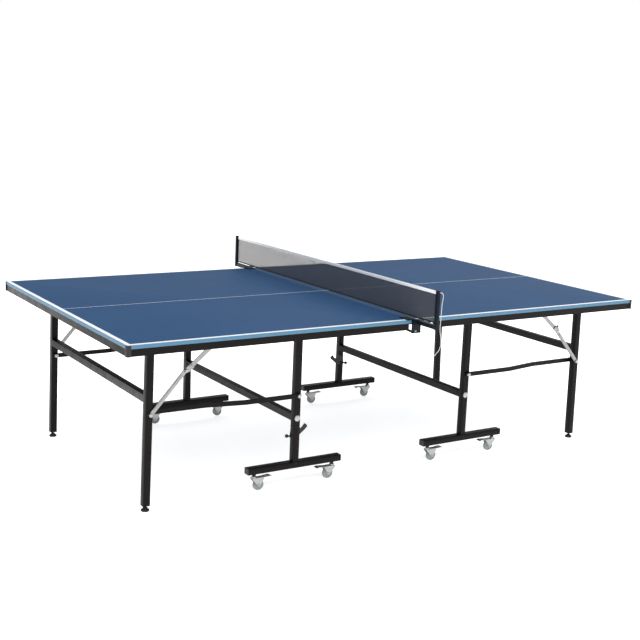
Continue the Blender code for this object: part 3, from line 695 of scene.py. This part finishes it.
def wheel_mesh(turn):
    """Rounded tread (material 0) around a dished hub (material 1), on the axle."""
    tread = [(0.0185, -0.0078), (0.0222, -0.0082), (0.0240, -0.0068), (0.0249, -0.0040), (WHEEL_R, 0.0)]
    tread += [(r, -h) for r, h in tread[-2::-1]]
    tread += [(0.0182, 0.0062), (0.0182, -0.0062), (0.0185, -0.0078)]
    hub = [(0.0036, -0.0089), (0.0072, -0.0089), (0.0080, -0.0066), (0.0150, -0.0058)]
    hub += [(0.0168, -0.0074), (0.0184, -0.0076), (0.0184, 0.0076)]
    hub += [(r, -h) for r, h in hub[-3::-1]]
    hub.append((0.0036, -0.0089))
    bm = bmesh.new()
    lathe(bm, tread, turn, 48, 0)
    lathe(bm, hub, turn, 48, 1)
    bmesh.ops.remove_doubles(bm, verts=bm.verts, dist=1e-6)
    return bm


def casters(half, sign):
    """Wheels in place of the plain ones, and two nuts on each axle."""
    for s in (-1, 1):
        for place, u, inward in (("inner", TROLLEY_U - STEM_DU, 1), ("outer", TROLLEY_U + STEM_DU, -1)):
            tag = near_far(sign, s) + "_" + place
            axle = at(sign, u + inward * TRAIL, s * INNER_V, WHEEL_R)
            plain = "%s_caster_wheel_%s" % (half, tag)
            wheel = new_object("%s_wheel_%s" % (half, tag), wheel_mesh(aim(axle, (0, 1, 0))),
                               [LOOKS["tread"], LOOKS["hub"]], plain)
            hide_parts(plain)
            bm = bmesh.new()
            for way in (-1, 1):
                out = Vector((0, way, 0))
                hex_nut(bm, axle + out * 0.0134, out, 0.0052, 0.0026)
            fork = "%s_caster_fork_%s" % (half, tag)
            dressed("%s_axle_nuts_%s" % (half, tag), bm, "bright", fork)


# ---------------------------------------------------------------- carried-over frame pieces
# part of the node's name, its look, and the width of the softened edges
NODE_LOOKS = (
    ("apron_frame", "frame", 0.0008),
    ("trolley_frame", "frame", 0.0008),
    ("outer_leg_frame", "frame", 0.0008),
    ("link_bar", "frame", 0.0008),
    ("corner_cap", "plastic", 0.0006),
    ("levelling_foot", "foot", 0.0006),
    ("stay_", "zinc", 0.0005),
    ("caster_fork", "bright", 0.0005),
    ("brake_pedal", "zinc", 0.0005),
    ("latch_hook", "latch", 0.0006),
    ("net_bracket", "bracket", 0.0008),
    ("clamp_jaw", "bracket", 0.0005),
)


def dress_nodes():
    """Looks and softened edges for the frame pieces that are shown as they are."""
    for name, obj in NODES.items():
        if obj.hide_render:
            continue
        found = next(((look, width) for key, look, width in NODE_LOOKS if key in name), None)
        if found is None:
            raise SystemExit("no look for " + name)
        look, width = found
        mesh = obj.data
        old = mesh.attributes.get("custom_normal")
        if old is not None:
            mesh.attributes.remove(old)
        mesh.materials.clear()
        mesh.materials.append(LOOKS[look])
        mesh.shade_smooth()
        weld = obj.modifiers.new("weld", "WELD")
        weld.merge_threshold = 0.00001
        flat = obj.modifiers.new("planar", "DECIMATE")
        flat.decimate_type = "DISSOLVE"
        flat.angle_limit = math.radians(0.5)
        soft = obj.modifiers.new("soft_edges", "BEVEL")
        soft.width = width
        soft.segments = 2
        soft.limit_method = "ANGLE"
        soft.angle_limit = SHARP
        soft.harden_normals = True


# ---------------------------------------------------------------- stage
FLOOR_R = 80
FLOOR_Z = -0.0003
SUNS = (("key", 1.5, 40, (-0.35, -0.75, 1.1)), ("fill", 0.6, 60, (0.8, 0.5, 0.9)))


def white_floor():
    bm = bmesh.new()
    ring = []
    for i in range(64):
        a = i / 32 * math.pi
        ring.append(bm.verts.new((FLOOR_R * math.cos(a), FLOOR_R * math.sin(a), FLOOR_Z)))
    bm.faces.new(ring)
    mesh = bpy.data.meshes.new("studio_floor")
    bm.to_mesh(mesh)
    bm.free()
    floor = bpy.data.objects.new("studio_floor", mesh)
    bpy.context.scene.collection.objects.link(floor)
    glow = {"Emission_Color": (1, 1, 1, 1), "Emission_Strength": 0.72}
    mesh.materials.append(Mat("floor_white", (0.90, 0.90, 0.90), 0.9, spec=0.1, **glow).material)


def sky():
    """White to the camera; a grey that brightens upwards for the light it sheds."""
    world = bpy.data.worlds.new("studio")
    bpy.context.scene.world = world
    world.use_nodes = True
    tree = world.node_tree
    seen = tree.nodes["Background"]
    lit = tree.nodes.new("ShaderNodeBackground")
    gradient = tree.nodes.new("ShaderNodeValToRGB")
    coords = tree.nodes.new("ShaderNodeTexCoord")
    split = tree.nodes.new("ShaderNodeSeparateXYZ")
    tree.links.new(coords.outputs["Generated"], split.inputs[0])
    tree.links.new(split.outputs["Z"], gradient.inputs[0])
    stops = ((0.0, (0.30, 0.31, 0.33, 1)), (0.75, (1, 1, 1, 1)))
    for element, (position, colour) in zip(gradient.color_ramp.elements, stops):
        element.position = position
        element.color = colour
    tree.links.new(gradient.outputs[0], lit.inputs["Color"])
    lit.inputs["Strength"].default_value = 0.85
    seen.inputs["Color"].default_value = (1, 1, 1, 1)
    seen.inputs["Strength"].default_value = 1.0
    path = tree.nodes.new("ShaderNodeLightPath")
    mix = tree.nodes.new("ShaderNodeMixShader")
    tree.links.new(path.outputs["Is Camera Ray"], mix.inputs[0])
    tree.links.new(lit.outputs[0], mix.inputs[1])
    tree.links.new(seen.outputs[0], mix.inputs[2])
    tree.links.new(mix.outputs[0], tree.nodes["World Output"].inputs["Surface"])


def suns():
    for name, strength, angle, direction in SUNS:
        sun = bpy.data.lights.new(name, "SUN")
        sun.energy = strength
        sun.angle = math.radians(angle)
        lamp = bpy.data.objects.new(name, sun)
        lamp.rotation_mode = "QUATERNION"
        lamp.rotation_quaternion = Vector(direction).to_track_quat("Z", "Y")
        bpy.context.scene.collection.objects.link(lamp)


place_camera()
hanging_cord()
for side, way in HALVES:
    table_top(side, way)
    border_line(side, way)
    centre_line(side, way)
    trolley_hardware(side, way)
    leg_hardware(side, way)
    top_hardware(side, way)
    stay_hardware(side, way)
    casters(side, way)
net_sheet()
dress_nodes()
white_floor()
sky()
suns()
bpy.context.scene.view_settings.view_transform = "Standard"
